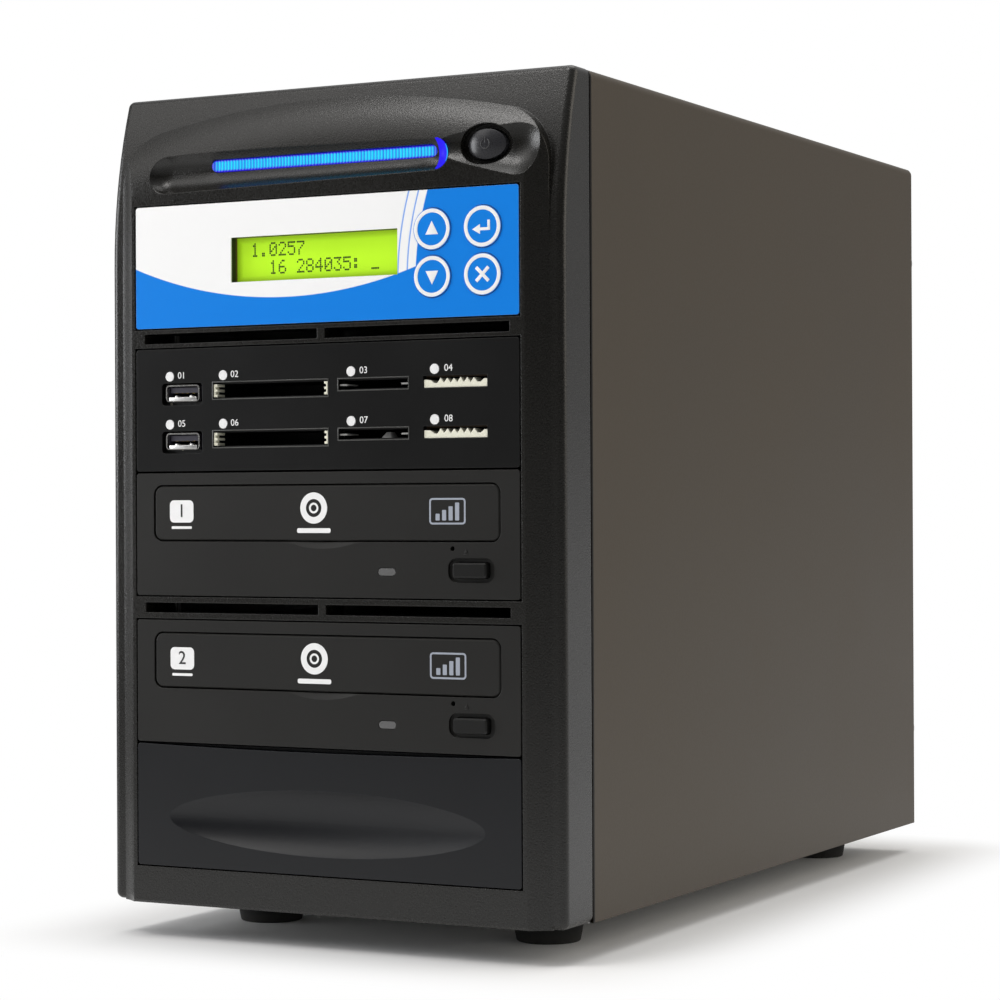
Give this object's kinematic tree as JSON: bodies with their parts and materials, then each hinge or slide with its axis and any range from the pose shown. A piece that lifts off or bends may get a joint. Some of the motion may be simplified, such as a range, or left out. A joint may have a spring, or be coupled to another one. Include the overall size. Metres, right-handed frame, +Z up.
{
  "type": "disc duplicator",
  "caption": "Upright desktop tower that copies optical discs and flash cards: steel cover, moulded front, display with keys, card reader and disc drives.",
  "frame": {"origin": "on the floor under the middle of the overall box, feet at Z 0", "axes": "+Z up, front faces -Y, +X to the right seen from the front"},
  "size_m": [0.175, 0.3486, 0.29],
  "materials": {
    "bezel_plastic": "fine moulded texture",
    "light_guide": "ribbed and lit from behind",
    "power_cap": "satin",
    "cover_paint": "fine powder coat",
    "plated_steel": "zinc plated sheet",
    "screw_steel": "plated",
    "foot_rubber": "moulded",
    "board_green": "solder resist",
    "panel_plastic": "moulded",
    "overlay_film": "printed film",
    "key_film": "printed film",
    "lcd_bezel": "dark",
    "lcd_glass": "lit display",
    "reader_plastic": "moulded",
    "slot_plastic": "moulded",
    "slot_cream": "moulded",
    "socket_steel": "bright plated shell",
    "lens_white": "diffusing",
    "drive_plastic": "fine moulded texture",
    "tray_plastic": "moulded",
    "blank_plastic": "fine moulded texture",
    "fan_plastic": "moulded",
    "inlet_plastic": "moulded"
  },
  "bodies": {
    "chassis": {"base_pan": "plated_steel", "blank_bay_cover": "blank_plastic", "cf_slots": "slot_plastic", "controller_board": "board_green", "controller_tray": "plated_steel", "cover_thumbscrews": "screw_steel", "drive_cage_left": "plated_steel", "drive_cage_right": "plated_steel", "drive_screws": "screw_steel", "exhaust_fan_frame": "fan_plastic", "feet": "foot_rubber", "front_bezel": "bezel_plastic", "front_plate": "plated_steel", "indicator_lenses": "lens_white", "key_board": "board_green", "lcd_frame": "lcd_bezel", "lcd_glass": "lcd_glass", "light_bar": "light_guide", "light_board": "board_green", "lower_drive_bezel": "drive_plastic", "lower_drive_case": "plated_steel", "lower_drive_deck": "tray_plastic", "lower_drive_lid": "plated_steel", "mains_inlet": "inlet_plastic", "mains_switch_body": "inlet_plastic", "ms_slots": "slot_cream", "panel_frame": "panel_plastic", "panel_overlay": "overlay_film", "psu_board": "board_green", "psu_case": "plated_steel", "psu_fan_frame": "fan_plastic", "psu_lid": "plated_steel", "reader_bezel": "reader_plastic", "reader_boards": "board_green", "reader_tray": "plated_steel", "rear_panel": "plated_steel", "rear_screws": "screw_steel", "sd_slots": "slot_plastic", "upper_drive_bezel": "drive_plastic", "upper_drive_case": "plated_steel", "upper_drive_deck": "tray_plastic", "upper_drive_lid": "plated_steel", "usb_ports": "socket_steel", "wrap_cover": "cover_paint"},
    "power_button": {"power_button": "power_cap"},
    "key_up": {"key_up": "key_film"},
    "key_down": {"key_down": "key_film"},
    "key_enter": {"key_enter": "key_film"},
    "key_escape": {"key_escape": "key_film"},
    "upper_tray": {"upper_drive_tray": "tray_plastic", "upper_drive_tray_front": "drive_plastic"},
    "lower_tray": {"lower_drive_tray": "tray_plastic", "lower_drive_tray_front": "drive_plastic"},
    "upper_eject": {"upper_drive_eject_button": "drive_plastic"},
    "lower_eject": {"lower_drive_eject_button": "drive_plastic"},
    "upper_spindle": {"upper_drive_spindle": "tray_plastic"},
    "lower_spindle": {"lower_drive_spindle": "tray_plastic"},
    "exhaust_rotor": {"exhaust_fan_rotor": "fan_plastic"},
    "psu_rotor": {"psu_fan_rotor": "fan_plastic"},
    "mains_rocker": {"mains_rocker": "inlet_plastic"}
  },
  "joints": [
    {"name": "power_press", "type": "slide", "parent": "chassis", "child": "power_button", "axis": [0, 1, 0], "range_m": [0, 0.0025], "stiffness_N_per_m": 800},
    {"name": "key_up_press", "type": "slide", "parent": "chassis", "child": "key_up", "axis": [0, 1, 0], "range_m": [0, 0.0005], "stiffness_N_per_m": 2000},
    {"name": "key_down_press", "type": "slide", "parent": "chassis", "child": "key_down", "axis": [0, 1, 0], "range_m": [0, 0.0005], "stiffness_N_per_m": 2000},
    {"name": "key_enter_press", "type": "slide", "parent": "chassis", "child": "key_enter", "axis": [0, 1, 0], "range_m": [0, 0.0005], "stiffness_N_per_m": 2000},
    {"name": "key_escape_press", "type": "slide", "parent": "chassis", "child": "key_escape", "axis": [0, 1, 0], "range_m": [0, 0.0005], "stiffness_N_per_m": 2000},
    {"name": "upper_tray_slide", "type": "slide", "parent": "chassis", "child": "upper_tray", "axis": [0, -1, 0], "range_m": [0, 0.14]},
    {"name": "upper_eject_press", "type": "slide", "parent": "chassis", "child": "upper_eject", "axis": [0, 1, 0], "range_m": [0, 0.0012], "stiffness_N_per_m": 1000},
    {"name": "upper_spindle_turn", "type": "hinge", "parent": "chassis", "child": "upper_spindle", "pos_m": [0, -0.1042, 0.1297], "axis": [0, 0, 1], "continuous": true},
    {"name": "lower_tray_slide", "type": "slide", "parent": "chassis", "child": "lower_tray", "axis": [0, -1, 0], "range_m": [0, 0.14]},
    {"name": "lower_eject_press", "type": "slide", "parent": "chassis", "child": "lower_eject", "axis": [0, 1, 0], "range_m": [0, 0.0012], "stiffness_N_per_m": 1000},
    {"name": "lower_spindle_turn", "type": "hinge", "parent": "chassis", "child": "lower_spindle", "pos_m": [0, -0.1042, 0.0796], "axis": [0, 0, 1], "continuous": true},
    {"name": "exhaust_fan_turn", "type": "hinge", "parent": "chassis", "child": "exhaust_rotor", "pos_m": [0, 0.1553, 0.122], "axis": [0, 1, 0], "continuous": true},
    {"name": "psu_fan_turn", "type": "hinge", "parent": "chassis", "child": "psu_rotor", "pos_m": [-0.022, 0.1533, 0.2439], "axis": [0, 1, 0], "continuous": true},
    {"name": "mains_rocker_tilt", "type": "hinge", "parent": "chassis", "child": "mains_rocker", "pos_m": [0.045, 0.1628, 0.2279], "axis": [1, 0, 0], "range_deg": [-22, 0]}
  ]
}
